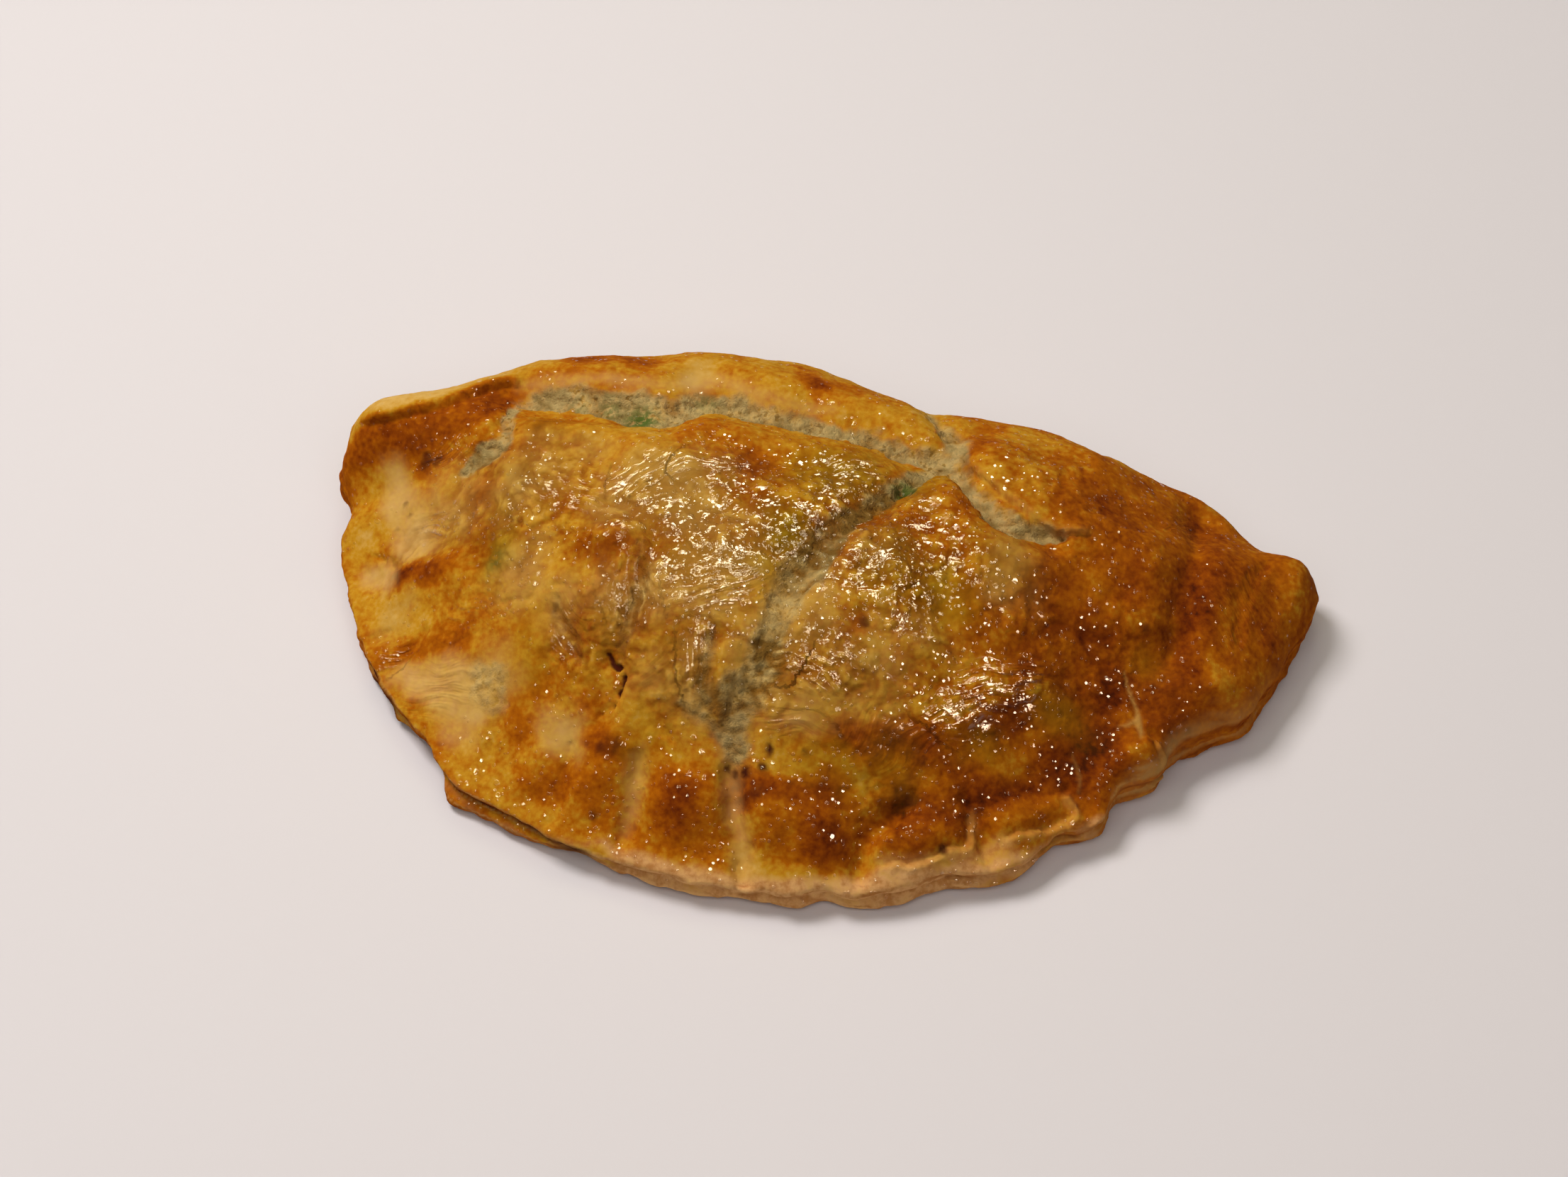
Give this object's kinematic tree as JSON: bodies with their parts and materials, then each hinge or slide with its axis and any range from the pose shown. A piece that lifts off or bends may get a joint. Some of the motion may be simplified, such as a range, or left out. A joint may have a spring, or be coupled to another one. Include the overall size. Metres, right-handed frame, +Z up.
{
  "type": "half-moon meat pie",
  "caption": "Baked half-moon meat pie folded from one round of glazed pastry, closed, with folded flaps, torn valleys and a pleated rim, resting flat.",
  "frame": {"origin": "under the middle of the pie's box, on the surface that it rests on", "axes": "+X along the pie towards its drawn-out tip, +Y towards the folded back, +Z up out of the domed top"},
  "size_m": [0.19, 0.1158, 0.0376],
  "materials": {
    "pastry": "golden-brown baked pastry with an egg-wash sheen"
  },
  "bodies": {
    "root": {"pastry": "pastry"}
  },
  "joints": []
}
